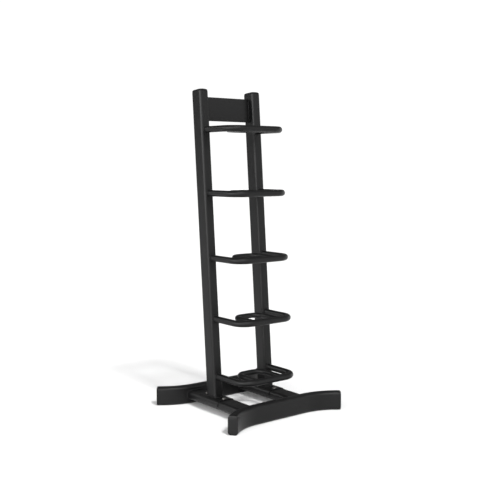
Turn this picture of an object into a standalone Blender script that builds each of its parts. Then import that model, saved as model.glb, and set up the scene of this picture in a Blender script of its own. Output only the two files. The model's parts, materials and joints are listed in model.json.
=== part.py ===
"""Five-tier ball rack: two raked uprights on an H-shaped base, with five bent-tube cradles.

Metres, +Z up, +X to the rack's right, -Y towards its front. The origin is on the floor
in the middle of the base. Every piece that is separate on a bench is its own object.
"""
import math

import bmesh
import bpy
from mathutils import Matrix, Vector

# ---- driving dimensions, in metres -------------------------------------------------
GAP = 0.0003                         # clearance kept between pieces that touch

# Base: two bent flat-oval feet joined by two crossbars of the same tube laid flat.
FOOT_SPACING = 0.443                 # between the feet's centrelines at mid width
FOOT_HEIGHT = 0.083
FOOT_THICKNESS = 0.042
FOOT_CORNER = 0.0125
FOOT_STRAIGHT = 0.137                # half of the straight middle stretch
FOOT_BEND_RADIUS = 0.250             # of the centreline, towards each end
FOOT_BEND_ANGLE = math.radians(38)
FOOT_TAIL = 0.012                    # straight stretch at each tip
FOOT_WALL = 0.002

CROSSBAR_WIDTH = 0.087
CROSSBAR_HEIGHT = 0.040
CROSSBAR_CORNER = 0.015
CROSSBAR_WALL = 0.002

# Uprights: rounded rectangular tube, raked back.
UPRIGHT_SPACING = 0.291              # between the two uprights' centres
UPRIGHT_WIDTH = 0.046
UPRIGHT_DEPTH = 0.067
UPRIGHT_CORNER = 0.0105
UPRIGHT_WALL = 0.002
UPRIGHT_RAKE = math.radians(4.38)
UPRIGHT_TOP = 1.4125                 # height of the tube's top at its centre
UPRIGHT_AXIS_Y = 0.0490              # where the uprights' axis meets the floor

# Saddle: a bent plate under each upright, bolted down over the crossbar.
SADDLE_THICKNESS = 0.003
SADDLE_HALF_LENGTH = 0.077
SADDLE_SKIRT = 0.022                 # how far its sides reach down the crossbar
BOLT_OFFSET = 0.062                  # of each bolt, before and behind the upright

# Fasteners: M10 button-head screws through the crossbar.
BOLT_RADIUS = 0.005
BOLT_HEAD_RADIUS = 0.009
BOLT_HEAD_HEIGHT = 0.005
BOLT_HOLE_RADIUS = 0.0056
BOLT_END = 0.003                     # thread that shows below the nut
WASHER_RADIUS = 0.010
WASHER_THICKNESS = 0.002
NUT_ACROSS_FLATS = 0.017
NUT_HEIGHT = 0.008
SOCKET_ACROSS_FLATS = 0.006
SOCKET_DEPTH = 0.003
BOLT_TIP = 0.001                     # chamfer at the shank's end
BOLT_RIM = 0.00125                   # straight part of the head's side
NUT_CHAMFER = 0.0006

# Header plate between the uprights, left plain.
PLATE_HEIGHT = 0.106
PLATE_THICKNESS = 0.005
PLATE_MIDDLE = 1.3374                # height of its middle
PLATE_EDGE = 0.0006

# Cradles: an outer hoop of 28 mm tube and an inner hoop of 24 mm tube.
TIER_HEIGHTS = (0.157, 0.4133, 0.6825, 0.9674, 1.2456)
HOOP_RADIUS = 0.0140
HOOP_WALL = 0.0016
HOOP_REACH = 0.2220                  # front bar's centre ahead of the uprights' axis
HOOP_SPACING = 0.291                 # between the two arms' centres
HOOP_BEND_RADIUS = 0.060
INNER_RADIUS = 0.0120
INNER_WALL = 0.0015
INNER_REACH = 0.063                  # rear bar's centre ahead of the uprights' axis
INNER_SPACING = 0.136                # between the two arms' centres
INNER_BEND_RADIUS = 0.045

# Caps: moulded plugs in the open tube ends.
CAP_FLANGE = 0.004
CAP_PLUG = 0.011
CAP_EDGE = 0.0022
TOP_CAP_FLANGE = 0.009
TOP_CAP_EDGE = 0.0080

CORNER_STEPS = 3                     # segments in a quarter of a rounded section
FOOT_BEND_STEPS = 7
HOOP_SIDES = 12
HOOP_BEND_STEPS = 5
INNER_SIDES = 10
INNER_BEND_STEPS = 4
HOLE_SIDES = 12
BAR_CUT_SIDES = 32                   # of the cut where an inner hoop meets the front bar
DOME_STEPS = 4
CAP_EDGE_STEPS = 3
MERGE_DISTANCE = 0.00001
SHARP_ANGLE = math.radians(35)
BEVEL_ANGLE = math.radians(40)
CUTTER_WIDTH = 1.0                   # of the blocks that trim both uprights or both arms
CUTTER_DEPTH = 0.2
CUTTER_HEIGHT = 3.0

# Worked out from the above.
CROSSBAR_MIDDLE = FOOT_HEIGHT / 2
CROSSBAR_TOP = CROSSBAR_MIDDLE + CROSSBAR_HEIGHT / 2
CROSSBAR_BOTTOM = CROSSBAR_MIDDLE - CROSSBAR_HEIGHT / 2
SADDLE_TOP = CROSSBAR_TOP + GAP + SADDLE_THICKNESS
SIDES = (("left", -1), ("right", 1))
ENDS = (("front", -1), ("rear", 1))


# ---- scene and materials -----------------------------------------------------------
def clear_scene():
    for thing in list(bpy.data.objects):
        bpy.data.objects.remove(thing, do_unlink=True)


def new_collection(name):
    made = bpy.data.collections.new(name)
    bpy.context.scene.collection.children.link(made)
    return made


def new_material(name, colour, roughness, metallic):
    made = bpy.data.materials.new(name)
    made.use_nodes = True
    shader = made.node_tree.nodes["Principled BSDF"]
    shader.inputs["Base Color"].default_value = (*colour, 1.0)
    shader.inputs["Roughness"].default_value = roughness
    shader.inputs["Metallic"].default_value = metallic
    return made


# ---- outlines ----------------------------------------------------------------------
def arc(centre, radius, start, sweep, steps):
    """Points on an arc, from angle start through sweep, both in radians."""
    angles = [start + sweep * i / steps for i in range(steps + 1)]
    return [(centre[0] + radius * math.cos(a), centre[1] + radius * math.sin(a)) for a in angles]


def rounded_rectangle(width, height, corner, steps=CORNER_STEPS):
    """A closed outline about the origin, anticlockwise."""
    x = width / 2 - corner
    y = height / 2 - corner
    points = []
    for i, centre in enumerate(((x, y), (-x, y), (-x, -y), (x, -y))):
        points += arc(centre, corner, i * math.pi / 2, math.pi / 2, steps)
    return points


def circle(radius, sides=HOLE_SIDES):
    return arc((0, 0), radius, 0, math.tau * (sides - 1) / sides, sides - 1)


def foot_centreline(side):
    """The plan of a foot, left to right: straight, with both ends bent outwards."""
    centre = (FOOT_STRAIGHT, FOOT_BEND_RADIUS)
    half = arc(centre, FOOT_BEND_RADIUS, -math.pi / 2, FOOT_BEND_ANGLE, FOOT_BEND_STEPS)
    tip_x = half[-1][0] + FOOT_TAIL * math.cos(FOOT_BEND_ANGLE)
    tip_y = half[-1][1] + FOOT_TAIL * math.sin(FOOT_BEND_ANGLE)
    half.append((tip_x, tip_y))
    mirrored = [(-x, y) for x, y in reversed(half)]
    return [(x, side * (FOOT_SPACING / 2 + y), FOOT_HEIGHT / 2) for x, y in mirrored + half]


def hoop_path(spacing, bar_y, end_y, bend, steps, height):
    """A U in plan: an arm forward or back from end_y, a bar at bar_y, and the other arm."""
    turn = 1 if end_y > bar_y else -1
    half = arc((spacing / 2 - bend, bend), bend, -math.pi / 2, math.pi / 2, steps)
    half.append((spacing / 2, abs(end_y - bar_y)))
    mirrored = [(-x, y) for x, y in reversed(half)]
    return [(x, bar_y + turn * y, height) for x, y in mirrored + half]


# ---- object makers -----------------------------------------------------------------
def curve_object(name, loops, closed, group, dimensions):
    data = bpy.data.curves.new(name, "CURVE")
    data.dimensions = dimensions
    for loop in loops:
        spline = data.splines.new("POLY")
        spline.points.add(len(loop) - 1)
        for point, place in zip(spline.points, loop):
            point.co = (*place, 1.0) if len(place) == 3 else (*place, 0.0, 1.0)
        spline.use_cyclic_u = closed
    made = bpy.data.objects.new(name, data)
    group.objects.link(made)
    return made


def slab(name, loops, thickness, group):
    """A flat outline, with holes for any further loops, thickened along its local Z."""
    made = curve_object(name, loops, True, group, "2D")
    made.data.fill_mode = "BOTH"
    made.data.extrude = thickness / 2
    return made


def round_rail(name, path, radius, sides, group, capped):
    """A round bar along a path."""
    made = curve_object(name, [path], False, group, "3D")
    made.data.twist_mode = "Z_UP"
    made.data.bevel_depth = radius
    made.data.bevel_resolution = sides // 2 - 2
    made.data.use_fill_caps = capped
    return made


def oval_rail(name, path, section, group, capped):
    """A bar with the section of the guide curve, along a path."""
    made = curve_object(name, [path], False, group, "3D")
    made.data.twist_mode = "Z_UP"
    made.data.bevel_mode = "OBJECT"
    made.data.bevel_object = section
    made.data.use_fill_caps = capped
    return made


def as_mesh(source):
    """Replaces a curve object with the mesh that it makes, caps welded on."""
    bpy.context.view_layer.update()
    view = source.evaluated_get(bpy.context.evaluated_depsgraph_get())
    mesh = bpy.data.meshes.new_from_object(view)
    work = bmesh.new()
    work.from_mesh(mesh)
    bmesh.ops.remove_doubles(work, verts=work.verts, dist=MERGE_DISTANCE)
    bmesh.ops.recalc_face_normals(work, faces=work.faces)
    work.to_mesh(mesh)
    work.free()
    made = bpy.data.objects.new(source.name, mesh)
    made.matrix_world = source.matrix_world
    for group in source.users_collection:
        group.objects.link(made)
    name = source.name
    bpy.data.objects.remove(source, do_unlink=True)
    made.name = name
    return made


def cylinder(name, radius, height, sides, group):
    """An upright prism about the origin, with a corner on +X."""
    mesh = bpy.data.meshes.new(name)
    work = bmesh.new()
    bmesh.ops.create_cone(
        work, cap_ends=True, segments=sides, radius1=radius, radius2=radius, depth=height
    )
    work.to_mesh(mesh)
    work.free()
    made = bpy.data.objects.new(name, mesh)
    group.objects.link(made)
    return made


def box(name, size, group):
    mesh = bpy.data.meshes.new(name)
    work = bmesh.new()
    bmesh.ops.create_cube(work, size=1.0)
    bmesh.ops.scale(work, vec=size, verts=work.verts)
    work.to_mesh(mesh)
    work.free()
    made = bpy.data.objects.new(name, mesh)
    group.objects.link(made)
    return made


def hide_guide(guide):
    guide.hide_render = True
    guide.display_type = "WIRE"
    return guide


def combine(piece, other, operation):
    step = piece.modifiers.new(f"{operation.lower()}_{other.name}", "BOOLEAN")
    step.operation = operation
    step.solver = "EXACT"
    step.object = hide_guide(other)


def hollow(piece, wall):
    """Turns an open-ended surface into a tube with walls inside it."""
    shell = piece.modifiers.new("wall", "SOLIDIFY")
    shell.thickness = wall
    shell.offset = -1.0
    shell.use_rim = True
    shell.use_even_offset = True


def soften(piece, width):
    edge = piece.modifiers.new("edges", "BEVEL")
    edge.width = width
    edge.segments = 1
    edge.limit_method = "ANGLE"
    edge.angle_limit = BEVEL_ANGLE


def finish(piece, material):
    piece.data.materials.clear()
    piece.data.materials.append(material)
    if piece.type == "MESH":
        piece.data.shade_smooth()
        piece.data.set_sharp_from_angle(angle=SHARP_ANGLE)
    return piece


def upright_middle(height):
    """The uprights' axis, in Y, at a height."""
    return UPRIGHT_AXIS_Y + height * math.tan(UPRIGHT_RAKE)


# ---- base --------------------------------------------------------------------------
def make_feet(parts, guides, steel, plastic):
    outline = rounded_rectangle(FOOT_THICKNESS, FOOT_HEIGHT, FOOT_CORNER)
    section = hide_guide(curve_object("foot_section", [outline], True, guides, "2D"))
    grown = rounded_rectangle(
        FOOT_THICKNESS + 2 * GAP, FOOT_HEIGHT + 2 * GAP, FOOT_CORNER + GAP
    )
    cut_section = hide_guide(curve_object("foot_cut_section", [grown], True, guides, "2D"))
    cutters = []
    for end, side in ENDS:
        path = foot_centreline(side)
        foot = as_mesh(oval_rail(f"{end}_foot", path, section, parts, False))
        hollow(foot, FOOT_WALL)
        finish(foot, steel)
        cutter = as_mesh(oval_rail(f"{end}_foot_cutter", path, cut_section, guides, True))
        cutters.append(hide_guide(cutter))
        for hand, direction in SIDES:
            tip = Vector(path[0] if direction < 0 else path[-1])
            heading = side * FOOT_BEND_ANGLE if direction > 0 else math.pi - side * FOOT_BEND_ANGLE
            make_plug(
                f"{end}_foot_cap_{hand}", (FOOT_THICKNESS, FOOT_HEIGHT, FOOT_CORNER), FOOT_WALL,
                (CAP_FLANGE, CAP_EDGE), tip, (math.pi / 2, 0, math.pi / 2 + heading),
                parts, guides, plastic,
            )
    return cutters


def make_plug(name, size, wall, flange_shape, tip, turn, parts, guides, plastic):
    """A moulded cap: a flange on the tube's end and a plug inside it. Local +Z is out."""
    width, height, corner = size
    flange, edge = flange_shape
    cover = as_mesh(slab(name, [rounded_rectangle(width, height, corner)], flange, parts))
    inset = wall + GAP
    shrunk = rounded_rectangle(width - 2 * inset, height - 2 * inset, corner - inset)
    plug = as_mesh(slab(f"{name}_plug", [shrunk], CAP_PLUG + flange / 2, guides))
    turned = Matrix.Translation(tip) @ Matrix.LocRotScale(None, turn_of(turn), None)
    cover.matrix_world = turned @ Matrix.Translation((0, 0, GAP + flange / 2))
    plug.matrix_world = turned @ Matrix.Translation((0, 0, GAP - (CAP_PLUG - flange / 2) / 2))
    outer_edge(cover, edge)
    combine(cover, plug, "UNION")
    finish(cover, plastic)


def turn_of(angles):
    return Matrix.Rotation(angles[2], 3, "Z") @ Matrix.Rotation(angles[0], 3, "X")


def outer_edge(cover, width):
    """Rounds the edges of the flange's outer face, on its local +Z side."""
    work = bmesh.new()
    work.from_mesh(cover.data)
    top = max(v.co.z for v in work.verts)
    rim = [e for e in work.edges if all(abs(v.co.z - top) < 1e-6 for v in e.verts)]
    rim = [e for e in rim if any(abs(f.normal.z) < 0.5 for f in e.link_faces)]
    bmesh.ops.bevel(
        work, geom=rim, offset=width, segments=CAP_EDGE_STEPS, profile=0.5,
        affect="EDGES", clamp_overlap=True,
    )
    work.to_mesh(cover.data)
    work.free()


def make_crossbars(parts, guides, steel, foot_cutters):
    outer = rounded_rectangle(CROSSBAR_WIDTH, CROSSBAR_HEIGHT, CROSSBAR_CORNER)
    inner = rounded_rectangle(
        CROSSBAR_WIDTH - 2 * CROSSBAR_WALL,
        CROSSBAR_HEIGHT - 2 * CROSSBAR_WALL,
        CROSSBAR_CORNER - CROSSBAR_WALL,
    )
    for hand, direction in SIDES:
        x = direction * UPRIGHT_SPACING / 2
        bar = as_mesh(slab(f"{hand}_crossbar", [outer, inner], FOOT_SPACING, parts))
        bar.rotation_euler = (math.pi / 2, 0, 0)
        bar.location = (x, 0, CROSSBAR_MIDDLE)
        for cutter in foot_cutters:
            combine(bar, cutter, "DIFFERENCE")
        for end, side in ENDS:
            combine(bar, bolt_hole(f"{hand}_{end}_bar_hole", x, side, guides), "DIFFERENCE")
        finish(bar, steel)


# ---- saddles and their bolts -------------------------------------------------------
def bolt_y(side):
    return UPRIGHT_AXIS_Y + side * BOLT_OFFSET


def bolt_hole(name, x, side, guides):
    hole = cylinder(name, BOLT_HOLE_RADIUS, FOOT_HEIGHT, HOLE_SIDES, guides)
    hole.location = (x, bolt_y(side), CROSSBAR_MIDDLE)
    return hole


def saddle_outline():
    """The section of the bent plate: over the crossbar's top and down both its sides."""
    inner_corner = CROSSBAR_CORNER + GAP
    outer_corner = inner_corner + SADDLE_THICKNESS
    centre_x = CROSSBAR_WIDTH / 2 - CROSSBAR_CORNER
    centre_y = CROSSBAR_HEIGHT / 2 - CROSSBAR_CORNER
    foot = CROSSBAR_HEIGHT / 2 - SADDLE_SKIRT

    def half(corner):
        return arc((centre_x, centre_y), corner, 0, math.pi / 2, CORNER_STEPS + 1)

    outer = [(centre_x + outer_corner, foot)] + half(outer_corner)
    inner = [(centre_x + inner_corner, foot)] + half(inner_corner)
    outside = outer + [(-x, y) for x, y in reversed(outer)]
    inside = inner + [(-x, y) for x, y in reversed(inner)]
    return outside + list(reversed(inside))


def make_saddles(parts, guides, steel):
    for hand, direction in SIDES:
        x = direction * UPRIGHT_SPACING / 2
        saddle = as_mesh(slab(f"{hand}_saddle", [saddle_outline()], 2 * SADDLE_HALF_LENGTH, parts))
        saddle.rotation_euler = (math.pi / 2, 0, 0)
        saddle.location = (x, UPRIGHT_AXIS_Y, CROSSBAR_MIDDLE)
        for end, side in ENDS:
            combine(saddle, bolt_hole(f"{hand}_{end}_saddle_hole", x, side, guides), "DIFFERENCE")
        finish(saddle, steel)


def turned(name, profile, parts):
    """A body of revolution about Z, from a profile that runs from the top down."""
    mesh = bpy.data.meshes.new(name)
    work = bmesh.new()
    corners = [work.verts.new((r, 0, z)) for r, z in profile]
    for first, second in zip(corners, corners[1:]):
        work.edges.new((first, second))
    work.to_mesh(mesh)
    work.free()
    made = bpy.data.objects.new(name, mesh)
    parts.objects.link(made)
    screw = made.modifiers.new("turn", "SCREW")
    screw.steps = HOLE_SIDES
    screw.render_steps = HOLE_SIDES
    screw.use_merge_vertices = True
    screw.merge_threshold = MERGE_DISTANCE
    return made


def prism_radius(across_flats):
    return across_flats / 2 / math.cos(math.pi / 6)


def make_bolt(name, parts, guides, zinc):
    """Button-head screw, seated at the origin: its head is above, its shank below."""
    length = SADDLE_THICKNESS + CROSSBAR_HEIGHT + WASHER_THICKNESS + NUT_HEIGHT + BOLT_END
    rise = BOLT_HEAD_HEIGHT - BOLT_RIM
    dome = [
        (BOLT_HEAD_RADIUS * math.sin(a), BOLT_RIM + rise * math.cos(a))
        for a in [math.pi / 2 * i / DOME_STEPS for i in range(DOME_STEPS + 1)]
    ]
    profile = dome + [
        (BOLT_HEAD_RADIUS, 0.0),
        (BOLT_RADIUS, 0.0),
        (BOLT_RADIUS, BOLT_TIP - length),
        (BOLT_RADIUS - BOLT_TIP, -length),
        (0.0, -length),
    ]
    bolt = turned(name, profile, parts)
    socket = cylinder(f"{name}_socket", prism_radius(SOCKET_ACROSS_FLATS), SOCKET_DEPTH * 2, 6, guides)
    socket.parent = bolt
    socket.location = (0, 0, BOLT_HEAD_HEIGHT)
    combine(bolt, socket, "DIFFERENCE")
    return finish(bolt, zinc)


def make_washer(name, parts, zinc):
    washer = slab(name, [circle(WASHER_RADIUS), circle(BOLT_HOLE_RADIUS)], WASHER_THICKNESS, parts)
    return finish(as_mesh(washer), zinc)


def make_nut(name, parts, zinc):
    hexagon = circle(prism_radius(NUT_ACROSS_FLATS), 6)
    nut = as_mesh(slab(name, [hexagon, circle(BOLT_HOLE_RADIUS)], NUT_HEIGHT, parts))
    soften(nut, NUT_CHAMFER)
    return finish(nut, zinc)


def make_fasteners(parts, guides, zinc):
    below = CROSSBAR_BOTTOM - GAP
    for hand, direction in SIDES:
        for end, side in ENDS:
            place = (direction * UPRIGHT_SPACING / 2, bolt_y(side))
            bolt = make_bolt(f"{hand}_{end}_bolt", parts, guides, zinc)
            bolt.location = (*place, SADDLE_TOP + GAP)
            washer = make_washer(f"{hand}_{end}_washer", parts, zinc)
            washer.location = (*place, below - WASHER_THICKNESS / 2)
            nut = make_nut(f"{hand}_{end}_nut", parts, zinc)
            nut.location = (*place, below - WASHER_THICKNESS - GAP - NUT_HEIGHT / 2)


# ---- uprights, their caps and the plate --------------------------------------------
def make_uprights(parts, guides, steel, plastic):
    outer = rounded_rectangle(UPRIGHT_WIDTH, UPRIGHT_DEPTH, UPRIGHT_CORNER)
    inner = rounded_rectangle(
        UPRIGHT_WIDTH - 2 * UPRIGHT_WALL,
        UPRIGHT_DEPTH - 2 * UPRIGHT_WALL,
        UPRIGHT_CORNER - UPRIGHT_WALL,
    )
    length = UPRIGHT_TOP / math.cos(UPRIGHT_RAKE)
    block = box("upright_foot_cutter", (CUTTER_WIDTH, CUTTER_DEPTH, CUTTER_DEPTH), guides)
    block.location = (0, UPRIGHT_AXIS_Y, SADDLE_TOP + GAP - CUTTER_DEPTH / 2)
    lean = (-UPRIGHT_RAKE, 0, 0)
    for hand, direction in SIDES:
        x = direction * UPRIGHT_SPACING / 2
        top = Vector((x, upright_middle(UPRIGHT_TOP), UPRIGHT_TOP))
        upright = as_mesh(slab(f"{hand}_upright", [outer, inner], length, parts))
        upright.rotation_euler = lean
        upright.location = (x, upright_middle(UPRIGHT_TOP / 2), UPRIGHT_TOP / 2)
        combine(upright, block, "DIFFERENCE")
        finish(upright, steel)
        make_plug(
            f"{hand}_upright_cap", (UPRIGHT_WIDTH, UPRIGHT_DEPTH, UPRIGHT_CORNER), UPRIGHT_WALL,
            (TOP_CAP_FLANGE, TOP_CAP_EDGE), top, lean, parts, guides, plastic,
        )


def make_plate(parts, steel):
    width = UPRIGHT_SPACING - UPRIGHT_WIDTH - 2 * GAP
    plate = box("header_plate", (width, PLATE_THICKNESS, PLATE_HEIGHT), parts)
    plate.rotation_euler = (-UPRIGHT_RAKE, 0, 0)
    plate.location = (0, upright_middle(PLATE_MIDDLE), PLATE_MIDDLE)
    soften(plate, PLATE_EDGE)
    finish(plate, steel)


# ---- cradles -----------------------------------------------------------------------
def upright_face_cutter(guides):
    """A block behind the plane of both uprights' front faces."""
    block = box("upright_face_cutter", (CUTTER_WIDTH, CUTTER_DEPTH, CUTTER_HEIGHT), guides)
    shift = (CUTTER_DEPTH - UPRIGHT_DEPTH) / 2 - GAP
    block.rotation_euler = (-UPRIGHT_RAKE, 0, 0)
    block.location = (0, UPRIGHT_AXIS_Y + shift / math.cos(UPRIGHT_RAKE), 0)
    return block


def make_cradles(parts, guides, steel):
    face = upright_face_cutter(guides)
    for tier, height in enumerate(TIER_HEIGHTS, start=1):
        middle = upright_middle(height)
        bar_y = middle - HOOP_REACH
        path = hoop_path(HOOP_SPACING, bar_y, middle, HOOP_BEND_RADIUS, HOOP_BEND_STEPS, height)
        hoop = as_mesh(round_rail(f"tier{tier}_hoop", path, HOOP_RADIUS, HOOP_SIDES, parts, False))
        hollow(hoop, HOOP_WALL)
        combine(hoop, face, "DIFFERENCE")
        finish(hoop, steel)

        rear_y = middle - INNER_REACH
        path = hoop_path(
            INNER_SPACING, rear_y, bar_y, INNER_BEND_RADIUS, INNER_BEND_STEPS, height
        )
        inner = as_mesh(
            round_rail(f"tier{tier}_inner_hoop", path, INNER_RADIUS, INNER_SIDES, parts, False)
        )
        hollow(inner, INNER_WALL)
        rod = cylinder(
            f"tier{tier}_bar_cutter", HOOP_RADIUS + GAP, HOOP_SPACING, BAR_CUT_SIDES, guides
        )
        rod.rotation_euler = (0, math.pi / 2, 0)
        rod.location = (0, bar_y, height)
        combine(inner, rod, "DIFFERENCE")
        finish(inner, steel)


# ---- the rack ----------------------------------------------------------------------
def main():
    clear_scene()
    parts = new_collection("ball_rack")
    guides = new_collection("cutters")
    steel = new_material("black_powder_coat", (0.018, 0.018, 0.019), 0.45, 0.0)
    plastic = new_material("black_plastic", (0.022, 0.022, 0.022), 0.5, 0.0)
    zinc = new_material("black_zinc", (0.05, 0.05, 0.05), 0.35, 0.8)
    foot_cutters = make_feet(parts, guides, steel, plastic)
    make_crossbars(parts, guides, steel, foot_cutters)
    make_saddles(parts, guides, steel)
    make_fasteners(parts, guides, zinc)
    make_uprights(parts, guides, steel, plastic)
    make_plate(parts, steel)
    make_cradles(parts, guides, steel)


main()
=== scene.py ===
"""Looks for the five-tier ball rack: smooth tubes, weld beads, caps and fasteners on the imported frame.

Metres, +Z up, +X to the rack's right, -Y towards its front. A piece either stands for a node of the frame,
and takes its place and size from that node, or is a set of welds between nodes.
"""
import json
import math

import bmesh
import bpy
from mathutils import Matrix, Vector


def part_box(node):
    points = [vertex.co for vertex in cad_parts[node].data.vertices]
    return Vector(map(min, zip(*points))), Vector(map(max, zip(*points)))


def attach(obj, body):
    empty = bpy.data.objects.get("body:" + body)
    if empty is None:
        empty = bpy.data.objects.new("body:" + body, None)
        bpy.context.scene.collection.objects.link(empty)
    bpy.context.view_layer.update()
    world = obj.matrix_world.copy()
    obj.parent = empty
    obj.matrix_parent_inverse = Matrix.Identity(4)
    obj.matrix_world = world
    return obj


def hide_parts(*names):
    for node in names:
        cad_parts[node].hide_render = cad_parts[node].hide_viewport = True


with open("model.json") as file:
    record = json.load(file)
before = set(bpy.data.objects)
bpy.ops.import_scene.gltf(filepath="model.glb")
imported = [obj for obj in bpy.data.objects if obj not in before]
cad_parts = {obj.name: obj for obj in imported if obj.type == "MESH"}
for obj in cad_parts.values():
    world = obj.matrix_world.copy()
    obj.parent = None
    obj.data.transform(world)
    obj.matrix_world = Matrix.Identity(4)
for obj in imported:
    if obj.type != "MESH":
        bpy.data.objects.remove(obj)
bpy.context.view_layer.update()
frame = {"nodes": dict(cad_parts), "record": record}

# ---- what the frame gives ------------------------------------------------------------
SIDES = (("left", -1), ("right", 1))
ENDS = (("front", -1), ("rear", 1))
UP = Vector((0, 0, 1))
HEADER_FACE = next(mount for mount in frame["record"]["mounts"] if mount["name"] == "header_face")
RAKE = math.atan2(HEADER_FACE["axis"][2], -HEADER_FACE["axis"][1])    # how far the uprights lean back
TIERS = sorted(int(node.removeprefix("tier").removesuffix("_hoop")) for node in frame["nodes"]
               if node.endswith("_hoop") and "inner" not in node)

# ---- sizes of the stock that the rack is made of, in metres --------------------------
GAP = 0.0003                     # clearance that the frame keeps between pieces
TUBE_WALL = 0.002
FOOT_THICKNESS = 0.042
FOOT_CORNER = 0.0125
FOOT_STRAIGHT = 0.137            # from the middle of a foot to the start of its bend
FOOT_BEND_RADIUS = 0.250
FOOT_BEND_ANGLE = math.radians(38)
FOOT_TAIL = 0.012                # straight length past the bend
CROSSBAR_CORNER = 0.015
SADDLE_THICKNESS = 0.003
SADDLE_EDGE = 0.0008
UPRIGHT_DEPTH = 0.067            # front to rear, square to the leaning tube
UPRIGHT_CORNER = 0.0105
PLATE_THICKNESS = 0.005
PLATE_EDGE = 0.0011
HOOP_RADIUS = 0.0140
HOOP_BEND_RADIUS = 0.060
INNER_RADIUS = 0.0120
INNER_BEND_RADIUS = 0.045

# A cap's flange length, how far its edge is rounded inwards and along the tube, and its crown's rise.
FOOT_CAP = (0.0059, (0.0082, 0.0033), 0.0006)
UPRIGHT_CAP = (0.0094, (0.0088, 0.0084), 0.0008)
PLUG_DEPTH = 0.006               # how far a cap's plug reaches into its tube
GROOVE_START = 0.0012            # the groove that runs round a cap beside the tube's end
GROOVE_LIP = 0.0019
GROOVE_END = 0.0026

# Bolts are M10 with button heads, and their washers and nuts match.
ROUND_SIDES = 48                 # corners of every round outline on a fastener
HEAD_RADIUS = 0.009
HEAD_HEIGHT = 0.005
HEAD_RIM = 0.0012                # height of the straight rim below the head's dome
HEAD_DOME = math.radians(58)     # how far the dome's profile turns, from the rim to the socket
SHANK_RADIUS = 0.005
THREAD_CORE = 0.0042
THREAD_PITCH = 0.0015
THREAD_LENGTH = 0.020
THREAD_STEPS = 8                 # rings of vertices in one pitch
SOCKET_FLATS = 0.006
SOCKET_DEPTH = 0.003
WASHER_HOLE = 0.0054
WASHER_EDGE = 0.0003
NUT_HOLE = 0.0052
NUT_EDGE = 0.0007
CHAMFER_SLOPE = 1.6              # how far a nut's chamfer reaches inwards, over its height


# ---- outlines and meshes -------------------------------------------------------------
def arc(centre, radius, start, sweep_angle, steps):
    """Points on an arc, from angle start through sweep_angle, in radians."""
    angles = [start + sweep_angle * i / steps for i in range(steps + 1)]
    return [(centre[0] + radius * math.cos(a), centre[1] + radius * math.sin(a)) for a in angles]


def rounded_rectangle(width, height, corner, steps=10, flat_steps=3):
    """Points and edge weights of a closed outline, anticlockwise. The weight is 1 on a corner's crown."""
    x = width / 2 - corner
    y = height / 2 - corner
    centres = ((x, y), (-x, y), (-x, -y), (x, -y))
    points = []
    weights = []
    for i, centre in enumerate(centres):
        turn = arc(centre, corner, i * math.pi / 2, math.pi / 2, steps)
        points += turn
        weights += [math.sin(math.pi * k / steps) for k in range(steps + 1)]
        following = centres[(i + 1) % 4]
        onward = (i + 1) * math.pi / 2
        first = Vector(turn[-1])
        last = Vector(following) + corner * Vector((math.cos(onward), math.sin(onward)))
        for k in range(1, flat_steps):
            points.append(tuple(first.lerp(last, k / flat_steps)))
            weights.append(0.0)
    return points, weights


def circle(radius, sides):
    """Points of a closed circle, anticlockwise from +X."""
    return arc((0, 0), radius, 0, math.tau * (sides - 1) / sides, sides - 1)


def hexagon(across_flats):
    """Points round a hexagon, as many as a fastener's circles have. Two of its flats face along X."""
    outline = []
    for k in range(ROUND_SIDES):
        a = math.tau * k / ROUND_SIDES
        off_flat = (a + math.pi / 6) % (math.pi / 3) - math.pi / 6
        r = across_flats / 2 / math.cos(off_flat)
        outline.append((r * math.cos(a), r * math.sin(a)))
    return outline


def chamfered_hexagon(across_flats, edge):
    """A hexagon whose corners are turned off by a chamfer that is edge high. With no edge, it is whole."""
    if edge == 0:
        return hexagon(across_flats)
    limit = across_flats / 2 / math.cos(math.pi / 6) - edge * CHAMFER_SLOPE
    outline = []
    for x, y in hexagon(across_flats):
        keep = min(1.0, limit / math.hypot(x, y))
        outline.append((x * keep, y * keep))
    return outline


class Shape:
    """Collects vertices, faces and edge weights, then makes one mesh object of them."""

    def __init__(self):
        self.points = []
        self.weights = []
        self.faces = []

    def ring(self, points, weights=None):
        """Adds vertices and gives their numbers."""
        start = len(self.points)
        self.points += [Vector(p) for p in points]
        self.weights += list(weights) if weights else [0.0] * len(points)
        return list(range(start, len(self.points)))

    def join(self, first, second):
        """Quads between two rings of as many points."""
        count = len(first)
        for i in range(count):
            j = (i + 1) % count
            self.faces.append((first[i], first[j], second[j], second[i]))

    def close(self, ring):
        """A fan from the ring's middle, so that no face has many corners."""
        middle = sum((self.points[i] for i in ring), Vector()) / len(ring)
        hub = self.ring([middle])[0]
        for a, b in zip(ring, ring[1:] + ring[:1]):
            self.faces.append((a, b, hub))

    def tube(self, rings):
        """Quads along a row of rings, open at both ends."""
        for first, second in zip(rings, rings[1:]):
            self.join(first, second)

    def solid(self, rings):
        """A tube whose ends are closed."""
        self.tube(rings)
        self.close(rings[0])
        self.close(rings[-1])

    def build(self, name, sharp_degrees=40.0):
        """The object, with its faces turned outward and edges over sharp_degrees kept sharp."""
        mesh = bpy.data.meshes.new(name)
        mesh.from_pydata([tuple(p) for p in self.points], [], self.faces)
        mesh.validate()
        work = bmesh.new()
        work.from_mesh(mesh)
        bmesh.ops.recalc_face_normals(work, faces=work.faces)
        work.to_mesh(mesh)
        work.free()
        edge = mesh.attributes.new("edge", "FLOAT", "POINT")
        edge.data.foreach_set("value", self.weights)
        mesh.shade_smooth()
        mesh.set_sharp_from_angle(angle=math.radians(sharp_degrees))
        made = bpy.data.objects.new(name, mesh)
        bpy.context.scene.collection.objects.link(made)
        return made


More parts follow.
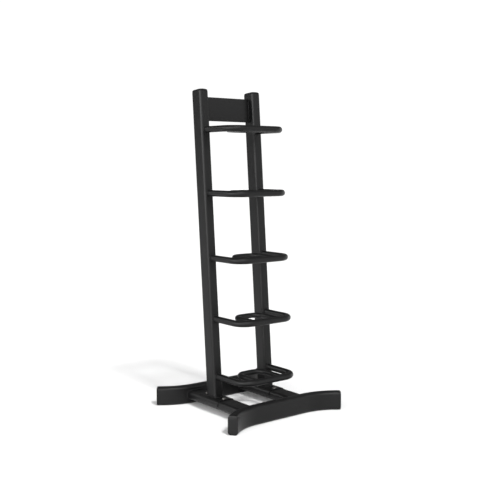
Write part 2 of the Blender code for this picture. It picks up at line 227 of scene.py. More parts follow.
def sweep(shape, path, section, weights=None):
    """A closed tube: the section (x sideways, y upwards) carried along a level path."""
    rings = []
    for i, place in enumerate(path):
        before = path[max(i - 1, 0)]
        after = path[min(i + 1, len(path) - 1)]
        heading = (after - before).normalized()
        side = heading.cross(UP).normalized()
        above = side.cross(heading)
        rings.append(shape.ring([place + side * x + above * y for x, y in section], weights))
    shape.solid(rings)


def settle(piece, material, slot, *nodes):
    """Gives a piece its material and its body, and hides the nodes that it stands for. Its slot is not used.
    """
    piece.data.materials.append(material)
    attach(piece, "root")
    if nodes:
        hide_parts(*nodes)


# ---- materials -----------------------------------------------------------------------
class Nodes:
    """A node material and short names for building it. Textures follow the object's own coordinates."""

    def __init__(self, name):
        self.material = bpy.data.materials.new(name)
        self.material.use_nodes = True
        self.tree = self.material.node_tree
        self.shader = self.tree.nodes["Principled BSDF"]
        self.place = self.tree.nodes.new("ShaderNodeTexCoord").outputs["Object"]

    def link(self, source, target):
        self.tree.links.new(source, target)

    def feed(self, value, socket):
        """Links an output to the socket, or sets the socket to a number or a colour."""
        if isinstance(value, (int, float)):
            socket.default_value = value
        elif isinstance(value, tuple):
            socket.default_value = (*value, 1.0)
        else:
            self.link(value, socket)

    def add(self, kind, **inputs):
        made = self.tree.nodes.new(kind)
        for name, value in inputs.items():
            made.inputs[name].default_value = value
        return made

    def noise(self, scale, detail=2.0, roughness=0.5):
        made = self.add("ShaderNodeTexNoise", Scale=scale, Detail=detail, Roughness=roughness)
        self.link(self.place, made.inputs["Vector"])
        return made.outputs["Fac"]

    def cells(self, scale):
        made = self.add("ShaderNodeTexVoronoi", Scale=scale)
        self.link(self.place, made.inputs["Vector"])
        return made.outputs["Distance"]

    def ramp(self, source, low, high, to_low=0.0, to_high=1.0):
        """Maps low..high to to_low..to_high, and holds the ends beyond them."""
        made = self.tree.nodes.new("ShaderNodeMapRange")
        for name, value in (("From Min", low), ("From Max", high), ("To Min", to_low), ("To Max", to_high)):
            made.inputs[name].default_value = value
        self.link(source, made.inputs["Value"])
        return made.outputs["Result"]

    def math(self, operation, first, second):
        made = self.tree.nodes.new("ShaderNodeMath")
        made.operation = operation
        self.feed(first, made.inputs[0])
        self.feed(second, made.inputs[1])
        return made.outputs["Value"]

    def mix(self, factor, first, second):
        """A colour between two colours."""
        made = self.tree.nodes.new("ShaderNodeMix")
        made.data_type = "RGBA"
        sockets = [socket for socket in made.inputs if socket.type == "RGBA"]
        self.link(factor, made.inputs["Factor"])
        self.feed(first, sockets[0])
        self.feed(second, sockets[1])
        return next(socket for socket in made.outputs if socket.type == "RGBA")

    def crown(self):
        """The mesh's edge weight: 1 on the crown of an edge, 0 on the flats."""
        made = self.tree.nodes.new("ShaderNodeAttribute")
        made.attribute_name = "edge"
        return made.outputs["Fac"]

    def facing_up(self):
        made = self.tree.nodes.new("ShaderNodeNewGeometry")
        split = self.tree.nodes.new("ShaderNodeSeparateXYZ")
        self.link(made.outputs["Normal"], split.inputs["Vector"])
        return split.outputs["Z"]

    def bump(self, height, distance, strength, under=None):
        made = self.add("ShaderNodeBump", Strength=strength, Distance=distance)
        self.link(height, made.inputs["Height"])
        if under:
            self.link(under, made.inputs["Normal"])
        return made.outputs["Normal"]


def powder_coat(name):
    """Satin black powder coat: orange peel and a fine grain, rubbed grey on edges, dusty on what faces up."""
    dark = (0.0016, 0.0016, 0.0017)
    pale = (0.0026, 0.0026, 0.0027)
    rubbed = (0.014, 0.014, 0.014)
    dusty = (0.02, 0.02, 0.019)
    n = Nodes(name)
    n.shader.inputs["Specular IOR Level"].default_value = 0.24
    cloud = n.noise(scale=9.0, detail=4.0, roughness=0.6)
    crown = n.crown()
    patches = n.ramp(n.noise(scale=60.0, detail=5.0, roughness=0.7), low=0.45, high=0.75)
    worn = n.math("MULTIPLY", crown, patches)
    settled = n.ramp(n.noise(scale=35.0, detail=6.0, roughness=0.7), low=0.4, high=0.8)
    dust = n.math("MULTIPLY", n.ramp(n.facing_up(), low=0.55, high=1.0), settled)
    tone = n.mix(n.ramp(cloud, low=0.3, high=0.7), dark, pale)
    tone = n.mix(n.math("MULTIPLY", worn, 0.4), tone, rubbed)
    tone = n.mix(n.math("MULTIPLY", dust, 0.2), tone, dusty)
    n.link(tone, n.shader.inputs["Base Color"])
    rough = n.ramp(cloud, low=0.25, high=0.75, to_low=0.36, to_high=0.43)
    rough = n.math("SUBTRACT", rough, n.math("MULTIPLY", crown, 0.04))
    rough = n.math("ADD", rough, n.math("MULTIPLY", dust, 0.12))
    n.link(rough, n.shader.inputs["Roughness"])
    peel = n.bump(n.noise(scale=420.0), distance=0.00010, strength=0.7)
    grain = n.noise(scale=1900.0, detail=3.0, roughness=0.6)
    n.link(n.bump(grain, distance=0.00006, strength=0.6, under=peel), n.shader.inputs["Normal"])
    return n.material


def moulded_plastic(name):
    """Black moulded plastic with a fine spark-eroded grain, scuffed on its edges."""
    dark = (0.002, 0.002, 0.0021)
    pale = (0.0034, 0.0034, 0.0035)
    scuffed = (0.02, 0.02, 0.02)
    n = Nodes(name)
    n.shader.inputs["Specular IOR Level"].default_value = 0.25
    cloud = n.noise(scale=14.0, detail=4.0, roughness=0.6)
    patches = n.ramp(n.noise(scale=90.0, detail=5.0, roughness=0.7), low=0.5, high=0.8)
    scuff = n.math("MULTIPLY", n.crown(), patches)
    tone = n.mix(n.ramp(cloud, low=0.3, high=0.7), dark, pale)
    tone = n.mix(n.math("MULTIPLY", scuff, 0.4), tone, scuffed)
    n.link(tone, n.shader.inputs["Base Color"])
    n.link(n.ramp(cloud, low=0.3, high=0.7, to_low=0.38, to_high=0.46), n.shader.inputs["Roughness"])
    n.link(n.bump(n.cells(1500.0), distance=0.00008, strength=0.6), n.shader.inputs["Normal"])
    return n.material


def black_zinc(name):
    """Black zinc plate: dark metal, a little brown and mottled, with bright rubbed edges."""
    dark = (0.12, 0.118, 0.115)
    brown = (0.19, 0.18, 0.168)
    bright = (0.30, 0.29, 0.27)
    n = Nodes(name)
    n.shader.inputs["Metallic"].default_value = 0.9
    mottle = n.noise(scale=260.0, detail=5.0, roughness=0.65)
    tone = n.mix(n.ramp(mottle, low=0.35, high=0.7), dark, brown)
    tone = n.mix(n.math("MULTIPLY", n.crown(), 0.5), tone, bright)
    n.link(tone, n.shader.inputs["Base Color"])
    n.link(n.ramp(mottle, low=0.3, high=0.7, to_low=0.22, to_high=0.36), n.shader.inputs["Roughness"])
    grain = n.noise(scale=1200.0, detail=3.0)
    n.link(n.bump(grain, distance=0.00004, strength=0.5), n.shader.inputs["Normal"])
    return n.material


STEEL = powder_coat("satin_powder_coat")
PLASTIC = moulded_plastic("moulded_black_plastic")
ZINC = black_zinc("black_zinc_plate")


# ---- weld beads ----------------------------------------------------------------------
BEAD_PITCH = 0.0024              # from one ripple of a weld to the next
RIPPLE_STEPS = 4
RIPPLE_LOW = 0.86                # a ripple's least thickness, as a share of the bead's radius
RIPPLE_RISE = 0.20
RIPPLE_FULLNESS = 0.7            # below 1, a ripple's crest is broad and the groove beside it is narrow
TIP_THICKNESS = 0.35             # how thick an open bead starts, and how fast it thickens
TIP_GROWTH = 4.0
BEAD_SIDES = 10
RING_STEPS = 48                  # points of a bead's route round a tube
CROSSBAR_BEAD = 0.0026           # each kind of bead's radius
UPRIGHT_BEAD = 0.0024
HOOP_BEAD = 0.0024
INNER_BEAD = 0.0020
PLATE_BEAD = 0.0019


def bead(shape, route, radius, closed=True):
    """A rippled weld bead along a route of points. One that isn't closed tapers towards both ends."""
    lengths = [0.0]
    count = len(route)
    for i in range(count if closed else count - 1):
        lengths.append(lengths[-1] + (route[(i + 1) % count] - route[i]).length)
    total = lengths[-1]
    steps = max(4, round(total / BEAD_PITCH)) * RIPPLE_STEPS
    rings = []
    for k in range(steps if closed else steps + 1):
        at = total * k / steps
        i = next(j for j in range(len(lengths) - 1) if at <= lengths[j + 1] + 1e-9)
        share = (at - lengths[i]) / (lengths[i + 1] - lengths[i])
        start = route[i % count]
        end = route[(i + 1) % count]
        place = start.lerp(end, share)
        heading = (end - start).normalized()
        steep = abs(heading.z) > 0.95
        across = heading.orthogonal() if steep else heading.cross(UP)
        across.normalize()
        above = across.cross(heading)
        phase = (k % RIPPLE_STEPS) / RIPPLE_STEPS
        swell = RIPPLE_LOW + RIPPLE_RISE * math.sin(math.pi * phase) ** RIPPLE_FULLNESS
        taper = 1.0 if closed else min(1.0, TIP_THICKNESS + TIP_GROWTH * min(k, steps - k) / steps)
        section = circle(radius * swell * taper, BEAD_SIDES)
        rings.append(shape.ring([place + across * x + above * y for x, y in section]))
    if closed:
        shape.tube(rings + rings[:1])
    else:
        shape.solid(rings)


# ---- base ----------------------------------------------------------------------------
def foot_plan(side, spacing):
    """The foot's centreline in plan, left to right: straight in the middle, bent outwards at both ends."""
    straight_steps = 6
    bend_steps = 26
    centre = (FOOT_STRAIGHT, FOOT_BEND_RADIUS)
    half = [(FOOT_STRAIGHT * k / straight_steps, 0.0) for k in range(straight_steps)]
    half += arc(centre, FOOT_BEND_RADIUS, -math.pi / 2, FOOT_BEND_ANGLE, bend_steps)
    end_x, end_y = half[-1]
    half.append((end_x + FOOT_TAIL * math.cos(FOOT_BEND_ANGLE),
                 end_y + FOOT_TAIL * math.sin(FOOT_BEND_ANGLE)))
    whole = [(-x, y) for x, y in reversed(half[1:])] + half
    return [(x, side * (spacing / 2 + y)) for x, y in whole]


def foot_face(x, spacing, side):
    """Y of the face that a foot turns to the middle of the base, at x."""
    past = max(abs(x) - FOOT_STRAIGHT, 0.0)
    inner = FOOT_BEND_RADIUS + FOOT_THICKNESS / 2
    bow = inner - math.sqrt(inner * inner - past * past)
    return side * (spacing / 2 - FOOT_THICKNESS / 2 + bow)


def make_cap(node, tip, outward, up, size, flange, edge, crown):
    """A moulded cap on a tube's end: the start of its plug, a groove, a rounded flange and a slight crown.

    The flange's edge is rounded over edge[0] inwards and over edge[1] along the tube.
    """
    edge_in, edge_along = edge
    width, height, corner = size
    side = up.cross(outward).normalized()
    # Each level has its inset, its distance past the tube's end, and its edge weight.
    levels = [(TUBE_WALL, -PLUG_DEPTH, 0.0), (TUBE_WALL, GAP / 2, 0.0), (TUBE_WALL, GROOVE_START, 0.6),
              (0.0006, GROOVE_LIP, 0.8), (0.0, GROOVE_END, 0.0)]
    edge_steps = 8
    for k in range(1, edge_steps + 1):
        a = math.pi / 2 * k / edge_steps
        levels.append((edge_in * (1 - math.cos(a)), flange - edge_along * (1 - math.sin(a)), math.sin(2 * a)))
    reach = 0.8 * (min(width, height) / 2 - corner / 4 - edge_in)
    crown_steps = 4
    for k in range(1, crown_steps + 1):
        share = k / crown_steps
        levels.append((edge_in + reach * share, flange + crown * math.sin(math.pi / 2 * share), 0.0))
    shape = Shape()
    rings = []
    for inset, level, weight in levels:
        # The corners grow a little inwards, up to 0.9 of what the outline's narrow side allows.
        round_by = min(corner + inset / 4, (min(width, height) / 2 - inset) * 0.9)
        outline, at_corner = rounded_rectangle(width - 2 * inset, height - 2 * inset, round_by, 8)
        weights = [max(weight, 0.6 * w) if level > GROOVE_START else weight for w in at_corner]
        origin = tip + outward * level
        rings.append(shape.ring([origin + side * x + up * y for x, y in outline], weights))
    shape.solid(rings)
    settle(shape.build(f"{node}_plug", 55.0), PLASTIC, "cap_plastic", node)


def make_feet():
    """Both feet with their caps. Gives the distance between the feet's centrelines."""
    low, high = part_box("front_foot")
    height = high.z - low.z
    spacing = -2 * (high.y - FOOT_THICKNESS / 2)
    size = (FOOT_THICKNESS, height, FOOT_CORNER)
    section, weights = rounded_rectangle(*size)
    for end, side in ENDS:
        path = [Vector((x, y, height / 2)) for x, y in foot_plan(side, spacing)]
        shape = Shape()
        sweep(shape, path, section, weights)
        settle(shape.build(f"{end}_foot_tube"), STEEL, "powder_coat", f"{end}_foot")
        for hand, way in SIDES:
            tip, neighbour = (path[0], path[1]) if way < 0 else (path[-1], path[-2])
            outward = (tip - neighbour).normalized()
            make_cap(f"{end}_foot_cap_{hand}", tip, outward, UP, size, *FOOT_CAP)
    return spacing


def make_crossbars(spacing):
    """The crossbars, which end just inside the feet's faces, and the welds round their ends."""
    grow = 0.002                 # how much wider than the crossbar its weld's route is
    stand_off = 0.0006           # how far the weld's route stands off the foot
    for hand, way in SIDES:
        low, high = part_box(f"{hand}_crossbar")
        x = (low.x + high.x) / 2
        z = (low.z + high.z) / 2
        width = high.x - low.x
        height = high.z - low.z
        section, weights = rounded_rectangle(width, height, CROSSBAR_CORNER)
        inner_edge = x - way * width / 2
        ends = [foot_face(inner_edge, spacing, side) + side * TUBE_WALL for _, side in ENDS]
        rows = 12
        path = [Vector((x, ends[0] + (ends[1] - ends[0]) * k / rows, z)) for k in range(rows + 1)]
        shape = Shape()
        sweep(shape, path, section, weights)
        settle(shape.build(f"{hand}_crossbar_tube"), STEEL, "powder_coat", f"{hand}_crossbar")
        welds = Shape()
        outline, _ = rounded_rectangle(width + grow, height + grow, CROSSBAR_CORNER, 8, 10)
        for _, side in ENDS:
            bead(welds, [Vector((x + px, foot_face(x + px, spacing, side) - side * stand_off, z + pz))
                         for px, pz in outline], CROSSBAR_BEAD)
        settle(welds.build(f"{hand}_crossbar_welds"), STEEL, "powder_coat")


# ---- saddles and fasteners -----------------------------------------------------------
def make_saddles():
    """Plates bent down over the crossbars, under the uprights."""
    for hand, _ in SIDES:
        low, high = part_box(f"{hand}_saddle")
        bar_low, bar_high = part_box(f"{hand}_crossbar")
        x = (low.x + high.x) / 2
        inner_corner = CROSSBAR_CORNER + GAP
        outer_corner = inner_corner + SADDLE_THICKNESS
        centre = ((bar_high.x - bar_low.x) / 2 + GAP - inner_corner, bar_high.z + GAP - inner_corner)
        bend_steps = 16
        outer = [(centre[0] + outer_corner, low.z)] + arc(centre, outer_corner, 0, math.pi / 2, bend_steps)
        inner = [(centre[0] + inner_corner, low.z)] + arc(centre, inner_corner, 0, math.pi / 2, bend_steps)
        outline = outer + [(-px, pz) for px, pz in reversed(outer)]
        outline += [(-px, pz) for px, pz in inner] + list(reversed(inner))
        hems = [1.0 if pz == low.z else 0.0 for _, pz in outline]
        rows = 12
        shape = Shape()
        rings = []
        for k in range(rows + 1):
            y = low.y + (high.y - low.y) * k / rows
            weights = [1.0] * len(outline) if k in (0, rows) else hems
            rings.append(shape.ring([(x + px, y, pz) for px, pz in outline], weights))
        shape.tube(rings)
        for ring in (rings[0], rings[-1]):
            for i in range(len(ring) // 2 - 1):
                shape.faces.append((ring[i], ring[i + 1], ring[-i - 2], ring[-i - 1]))
        made = shape.build(f"{hand}_saddle_plate")
        rounding = made.modifiers.new("edges", "BEVEL")
        rounding.width = SADDLE_EDGE
        rounding.segments = 3
        rounding.limit_method = "ANGLE"
        rounding.angle_limit = math.radians(50)
        settle(made, STEEL, "powder_coat", f"{hand}_saddle")


def make_bolt(node):
    """A button-head screw with a hexagon socket. Its name's length sets the angle that it is turned to."""
    low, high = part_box(node)
    x = (low.x + high.x) / 2
    y = (low.y + high.y) / 2
    top = high.z
    seat = top - HEAD_HEIGHT
    turned = Matrix.Rotation(math.radians(17 * (len(node) % 5) + 11), 2)
    shape = Shape()
    rings = []

    def level(outline, z, weight=0.0):
        spun = [turned @ Vector(point) for point in outline]
        rings.append(shape.ring([(x + point.x, y + point.y, z) for point in spun], [weight] * ROUND_SIDES))

    level(circle(THREAD_CORE, ROUND_SIDES), low.z, 0.5)
    steps = int((seat - low.z) / THREAD_PITCH * THREAD_STEPS)
    for k in range(1, steps):
        rise = k * (seat - low.z) / steps
        if rise > THREAD_LENGTH:
            break
        outline = []
        for s in range(ROUND_SIDES):
            crest = abs(((low.z + rise) / THREAD_PITCH + s / ROUND_SIDES) % 1.0 - 0.5) * 2
            r = THREAD_CORE + (SHANK_RADIUS - THREAD_CORE) * crest
            a = math.tau * s / ROUND_SIDES
            outline.append((r * math.cos(a), r * math.sin(a)))
        level(outline, low.z + rise, 0.1)
    level(circle(SHANK_RADIUS, ROUND_SIDES), low.z + THREAD_LENGTH + 0.0005)
    level(circle(SHANK_RADIUS, ROUND_SIDES), seat)
    head_edge = 0.0003
    level(circle(HEAD_RADIUS - head_edge, ROUND_SIDES), seat)
    level(circle(HEAD_RADIUS, ROUND_SIDES), seat + head_edge, 0.3)
    level(circle(HEAD_RADIUS, ROUND_SIDES), seat + HEAD_RIM, 0.2)
    dome_steps = 8
    for k in range(1, dome_steps + 1):
        a = HEAD_DOME * k / dome_steps
        rise = HEAD_RIM + (HEAD_HEIGHT - HEAD_RIM) * math.sin(a) / math.sin(HEAD_DOME)
        level(circle(HEAD_RADIUS * math.cos(a), ROUND_SIDES), seat + rise, 0.15)
    socket_edge = 0.0003
    level(hexagon(SOCKET_FLATS + 2 * socket_edge), top, 1.0)
    level(hexagon(SOCKET_FLATS), top - socket_edge, 0.8)
    level(hexagon(SOCKET_FLATS), top - SOCKET_DEPTH)
    shape.solid(rings)
    settle(shape.build(f"{node}_screw", 35.0), ZINC, "black_zinc", node)


def make_ring(node, outline, hole_radius, edge, name, sharp):
    """A washer or nut with a round hole and edges softened over edge.

    outline(0.0) gives its full outline, and outline(edge) the outline of its top and underside.
    """
    low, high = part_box(node)
    x = (low.x + high.x) / 2
    y = (low.y + high.y) / 2
    hole = circle(hole_radius, ROUND_SIDES)
    mouth = circle(hole_radius + edge, ROUND_SIDES)
    shape = Shape()

    def level(points, z, weight):
        return shape.ring([(x + px, y + py, z) for px, py in points], [weight] * ROUND_SIDES)

    rings = [
        level(hole, low.z + edge, 0.0), level(mouth, low.z, 0.6),
        level(outline(edge), low.z, 0.8), level(outline(0.0), low.z + edge, 0.6),
        level(outline(0.0), high.z - edge, 0.6), level(outline(edge), high.z, 0.8),
        level(mouth, high.z, 0.6), level(hole, high.z - edge, 0.0),
    ]
    shape.tube(rings + rings[:1])
    settle(shape.build(name, sharp), ZINC, "black_zinc", node)


def make_fasteners():
    for hand, _ in SIDES:
        for end, _ in ENDS:
            make_bolt(f"{hand}_{end}_bolt")
            low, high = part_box(f"{hand}_{end}_washer")
            radius = (high.x - low.x) / 2
            make_ring(f"{hand}_{end}_washer", lambda edge: circle(radius - edge, ROUND_SIDES),
                      WASHER_HOLE, WASHER_EDGE, f"{hand}_{end}_washer_ring", 30.0)
            low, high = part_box(f"{hand}_{end}_nut")
            flats = high.y - low.y
            make_ring(f"{hand}_{end}_nut", lambda edge: chamfered_hexagon(flats, edge),
                      NUT_HOLE, NUT_EDGE, f"{hand}_{end}_nut_hex", 25.0)


# ---- uprights and header plate -------------------------------------------------------
def upright_axis():
    """Y of the uprights' axis at floor level, and the height of the tube's top on that axis."""
    low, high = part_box("left_upright")
    foot = low.y + UPRIGHT_DEPTH / 2 / math.cos(RAKE)
    return foot - low.z * math.tan(RAKE), high.z - UPRIGHT_DEPTH / 2 * math.sin(RAKE)


AXIS_Y, UPRIGHT_TOP = upright_axis()
LEAN = Vector((0, math.sin(RAKE), math.cos(RAKE)))           # up along an upright
DEPTH_WAY = Vector((0, math.cos(RAKE), -math.sin(RAKE)))     # rearwards across it


def axis_y(z):
    """Y of the uprights' axis at height z."""
    return AXIS_Y + z * math.tan(RAKE)


def make_uprights():
    """The leaning tubes, cut level at the foot and square at the top, with their caps and foot welds."""
    level_depth = UPRIGHT_DEPTH / math.cos(RAKE)
    grow = 0.0016                # how much wider than the upright its weld's route is
    rise = 0.0004                # how far the weld's route is above the upright's foot
    rows = 40
    for hand, _ in SIDES:
        low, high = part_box(f"{hand}_upright")
        x = (low.x + high.x) / 2
        width = high.x - low.x
        section, weights = rounded_rectangle(width, UPRIGHT_DEPTH, UPRIGHT_CORNER, 10, 4)
        top = Vector((x, axis_y(UPRIGHT_TOP), UPRIGHT_TOP))
        bottom = Vector((x, axis_y(low.z), low.z))
        shape = Shape()
        # The lowest ring is level, and the others are square to the tube.
        rings = [shape.ring([bottom + Vector((px, py / math.cos(RAKE), 0)) for px, py in section], weights)]
        for k in range(1, rows + 1):
            middle = bottom.lerp(top, (k + 1) / (rows + 1))
            rings.append(shape.ring([middle + Vector((px, 0, 0)) + DEPTH_WAY * py for px, py in section],
                                    weights))
        shape.solid(rings)
        settle(shape.build(f"{hand}_upright_tube"), STEEL, "powder_coat", f"{hand}_upright")
        make_cap(f"{hand}_upright_cap", top, LEAN, -DEPTH_WAY, (width, UPRIGHT_DEPTH, UPRIGHT_CORNER),
                 *UPRIGHT_CAP)
        welds = Shape()
        outline, _ = rounded_rectangle(width + grow, level_depth + grow, UPRIGHT_CORNER, 8, 8)
        bead(welds, [bottom + Vector((px, py, rise)) for px, py in outline], UPRIGHT_BEAD)
        settle(welds.build(f"{hand}_upright_foot_weld"), STEEL, "powder_coat")


def make_plate():
    """The header plate between the uprights, and a weld on each face of its two ends."""
    normal = Vector(HEADER_FACE["axis"])
    low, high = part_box("header_plate")
    height = (high.z - low.z - PLATE_THICKNESS * math.sin(RAKE)) / math.cos(RAKE)
    half_width = (high.x - low.x) / 2
    centre = Vector(HEADER_FACE["pos_m"]) - normal * PLATE_THICKNESS / 2
    outline, at_corner = rounded_rectangle(PLATE_THICKNESS, height, PLATE_EDGE, 4, 1)
    weights = [1.0 if w > 0.1 else 0.2 for w in at_corner]
    steps = 24
    shape = Shape()
    rings = []
    for k in range(steps + 1):
        x = -half_width + 2 * half_width * k / steps
        rings.append(shape.ring([centre + Vector((x, 0, 0)) - normal * py + LEAN * pz
                                 for py, pz in outline], weights))
    shape.solid(rings)
    settle(shape.build("header_plate_sheet"), STEEL, "powder_coat", "header_plate")
    welded = 0.92 * height
    welds = Shape()
    for _, way in SIDES:
        for _, side in ENDS:
            corner = centre + Vector((way * half_width, 0, 0)) + normal * (side * PLATE_THICKNESS / 2)
            route = [corner + LEAN * (welded * (k / 20 - 0.5)) for k in range(21)]
            bead(welds, route, PLATE_BEAD, closed=False)
    settle(welds.build("header_plate_welds"), STEEL, "powder_coat")


# ---- cradles -------------------------------------------------------------------------
def u_path(spacing, bar_y, end_y, bend, height):
    """A level U: an arm from end_y to the bar at bar_y, and back again."""
    turn = 1 if end_y > bar_y else -1
    reach = abs(end_y - bar_y)
    bar_steps = 5
    bend_steps = 18
    arm_steps = 4
    half = [((spacing / 2 - bend) * k / bar_steps, 0.0) for k in range(bar_steps)]
    half += arc((spacing / 2 - bend, bend), bend, -math.pi / 2, math.pi / 2, bend_steps)
    half += [(spacing / 2, bend + (reach - bend) * k / arm_steps) for k in range(1, arm_steps + 1)]
    whole = [(-x, y) for x, y in reversed(half[1:])] + half
    return [Vector((x, bar_y + turn * y, height)) for x, y in whole]


def tube_weld(shape, x, z, radius, meets, bead_radius):
    """A weld round the end of a tube along Y. meets(rise) gives Y of what it ends at, rise above its axis."""
    route = []
    for px, rise in circle(radius, RING_STEPS):
        route.append(Vector((x + px, meets(rise), z + rise)))
    bead(shape, route, bead_radius)


def make_cradles():
    """Each tier's outer hoop, welded to the uprights, and its inner hoop, welded to the outer one's bar."""
    hoop_section = circle(HOOP_RADIUS, 40)
    inner_section = circle(INNER_RADIUS, 36)
    stand_off = 0.0006           # how far the route of a hoop's weld is in front of the upright
    clear = 0.0003               # how far the route of an inner hoop's weld is off the bar, all round
    rearwards = 0.0004           # and behind that
    hoop_round = HOOP_RADIUS + 0.0008
    inner_round = INNER_RADIUS + 0.0004
    for tier in TIERS:
        low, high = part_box(f"tier{tier}_hoop")
        height = (low.z + high.z) / 2
        spacing = high.x - low.x - 2 * HOOP_RADIUS
        bar_y = low.y + HOOP_RADIUS
        face_y = axis_y(height) - UPRIGHT_DEPTH / 2 / math.cos(RAKE)
        shape = Shape()
        end_y = face_y + 0.9 * TUBE_WALL
        sweep(shape, u_path(spacing, bar_y, end_y, HOOP_BEND_RADIUS, height), hoop_section)
        settle(shape.build(f"tier{tier}_hoop_tube"), STEEL, "powder_coat", f"tier{tier}_hoop")

        inner_low, inner_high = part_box(f"tier{tier}_inner_hoop")
        inner_spacing = inner_high.x - inner_low.x - 2 * INNER_RADIUS
        rear_y = inner_high.y - INNER_RADIUS
        shape = Shape()
        end_y = bar_y + HOOP_RADIUS - TUBE_WALL
        sweep(shape, u_path(inner_spacing, rear_y, end_y, INNER_BEND_RADIUS, height), inner_section)
        settle(shape.build(f"tier{tier}_inner_tube"), STEEL, "powder_coat", f"tier{tier}_inner_hoop")

        def on_upright(rise):
            return face_y + rise * math.tan(RAKE) - stand_off

        def on_bar(rise):
            return bar_y + math.sqrt((HOOP_RADIUS + clear) ** 2 - rise ** 2) + rearwards

        welds = Shape()
        for _, way in SIDES:
            tube_weld(welds, way * spacing / 2, height, hoop_round, on_upright, HOOP_BEAD)
            tube_weld(welds, way * inner_spacing / 2, height, inner_round, on_bar, INNER_BEAD)
        settle(welds.build(f"tier{tier}_welds"), STEEL, "powder_coat")


# ---- floor, light and camera ---------------------------------------------------------
FLOOR_HALF = 30.0                # half the floor's width
FLOOR_DROP = 0.0002              # keeps the floor clear of the feet's undersides

# Softboxes: name, azimuth from +X towards +Y, elevation, half angle (all degrees) and brightness.
SOFTBOXES = (
    ("left", 177, 6, 24, 4.6),
    ("left_wide", 210, 4, 30, 3.8),
    ("front_left", 255, 25, 18, 2.5),
    ("front_right", 302, 8, 26, 1.15),
    ("right", 0, 5, 18, 1.4),
    ("rear_left", 135, 24, 10, 5.0),
    ("front_top", 256, 54, 10, 7.5),
    ("front_fill", 270, 60, 42, 0.58),
)
SOFT_EDGE = 0.35                 # share of the half angle over which a softbox fades, to either side
AMBIENT = 0.17
WHITE = (1.0, 1.0, 1.0, 1.0)
BACKDROP = 1.05                  # a little over white, so that no sample falls short of it
KEY_AZIMUTH = 268
KEY_ELEVATION = 57.5
KEY_SPREAD = math.radians(7)
KEY_POWER = 2.1
CAMERA_PLACE = (-2.3056, -2.9196, 1.088)
CAMERA_YAW = math.radians(38.44)         # from +Y towards +X
CAMERA_PITCH = math.radians(5.74)        # downwards
CAMERA_LENS = 60.49
SENSOR_WIDTH = 36.0


def make_floor():
    """A plain pale floor."""
    mesh = bpy.data.meshes.new("floor")
    corners = [(-FLOOR_HALF, -FLOOR_HALF, 0), (FLOOR_HALF, -FLOOR_HALF, 0),
               (FLOOR_HALF, FLOOR_HALF, 0), (-FLOOR_HALF, FLOOR_HALF, 0)]
    mesh.from_pydata(corners, [], [(0, 1, 2, 3)])
    floor = bpy.data.objects.new("floor", mesh)
    floor.location.z = -FLOOR_DROP
    bpy.context.scene.collection.objects.link(floor)
    n = Nodes("white_studio_floor")
    dull = (0.675, 0.675, 0.675)
    pale = (0.685, 0.685, 0.685)
    n.link(n.mix(n.noise(scale=3.0, detail=3.0), dull, pale), n.shader.inputs["Base Color"])
    n.shader.inputs["Roughness"].default_value = 0.9
    n.shader.inputs["Specular IOR Level"].default_value = 0.1
    mesh.materials.append(n.material)


def sky_direction(azimuth, elevation):
    """The direction from the rack to a light, from its azimuth and elevation in degrees."""
    a = math.radians(azimuth)
    e = math.radians(elevation)
    return Vector((math.cos(a) * math.cos(e), math.sin(a) * math.cos(e), math.sin(e)))


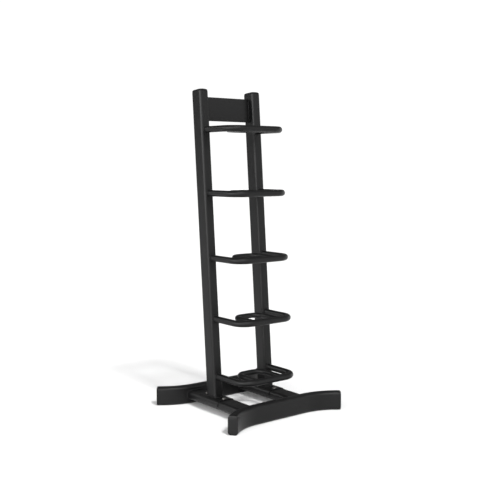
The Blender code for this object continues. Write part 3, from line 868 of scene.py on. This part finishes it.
def make_world():
    """A grey studio with soft lights round the rack. Behind the rack, the camera sees plain white."""
    world = bpy.data.worlds.new("studio")
    bpy.context.scene.world = world
    world.use_nodes = True
    tree = world.node_tree
    view = tree.nodes.new("ShaderNodeTexCoord").outputs["Generated"]
    total = None
    for name, azimuth, elevation, half_angle, level in SOFTBOXES:
        facing = tree.nodes.new("ShaderNodeVectorMath")
        facing.operation = "DOT_PRODUCT"
        facing.label = name
        tree.links.new(view, facing.inputs[0])
        facing.inputs[1].default_value = sky_direction(azimuth, elevation)
        glow = tree.nodes.new("ShaderNodeMapRange")
        glow.interpolation_type = "SMOOTHSTEP"
        glow.inputs["From Min"].default_value = math.cos(math.radians(half_angle * (1 + SOFT_EDGE)))
        glow.inputs["From Max"].default_value = math.cos(math.radians(half_angle * (1 - SOFT_EDGE)))
        glow.inputs["To Max"].default_value = level
        tree.links.new(facing.outputs["Value"], glow.inputs["Value"])
        add = tree.nodes.new("ShaderNodeMath")
        tree.links.new(glow.outputs["Result"], add.inputs[0])
        if total is None:
            add.inputs[1].default_value = AMBIENT
        else:
            tree.links.new(total, add.inputs[1])
        total = add.outputs["Value"]
    lit = tree.nodes["Background"]
    lit.inputs["Color"].default_value = WHITE
    tree.links.new(total, lit.inputs["Strength"])
    plain = tree.nodes.new("ShaderNodeBackground")
    plain.inputs["Color"].default_value = WHITE
    plain.inputs["Strength"].default_value = BACKDROP
    choose = tree.nodes.new("ShaderNodeMixShader")
    path = tree.nodes.new("ShaderNodeLightPath")
    tree.links.new(path.outputs["Is Camera Ray"], choose.inputs[0])
    tree.links.new(lit.outputs[0], choose.inputs[1])
    tree.links.new(plain.outputs[0], choose.inputs[2])
    tree.links.new(choose.outputs[0], tree.nodes["World Output"].inputs["Surface"])


def make_key_light():
    """The main light, in front of the rack and above it. It throws the shadows straight back."""
    data = bpy.data.lights.new("key", "SUN")
    data.energy = KEY_POWER
    data.angle = KEY_SPREAD
    light = bpy.data.objects.new("key", data)
    light.visible_glossy = False
    light.rotation_mode = "QUATERNION"
    light.rotation_quaternion = (-sky_direction(KEY_AZIMUTH, KEY_ELEVATION)).to_track_quat("-Z", "Y")
    bpy.context.scene.collection.objects.link(light)


def make_camera():
    """A camera without roll, in front of the rack and to its left."""
    data = bpy.data.cameras.new("camera")
    data.sensor_width = SENSOR_WIDTH
    data.lens = CAMERA_LENS
    camera = bpy.data.objects.new("camera", data)
    ahead = Vector((math.sin(CAMERA_YAW) * math.cos(CAMERA_PITCH),
                    math.cos(CAMERA_YAW) * math.cos(CAMERA_PITCH), -math.sin(CAMERA_PITCH)))
    right = Vector((math.cos(CAMERA_YAW), -math.sin(CAMERA_YAW), 0))
    above = right.cross(ahead)
    turned = Matrix((right, above, -ahead)).transposed().to_4x4()
    camera.matrix_world = Matrix.Translation(CAMERA_PLACE) @ turned
    bpy.context.scene.collection.objects.link(camera)
    bpy.context.scene.camera = camera


make_camera()
foot_spacing = make_feet()
make_crossbars(foot_spacing)
make_saddles()
make_fasteners()
make_uprights()
make_plate()
make_cradles()
make_floor()
make_world()
make_key_light()
bpy.context.scene.view_settings.view_transform = "Standard"
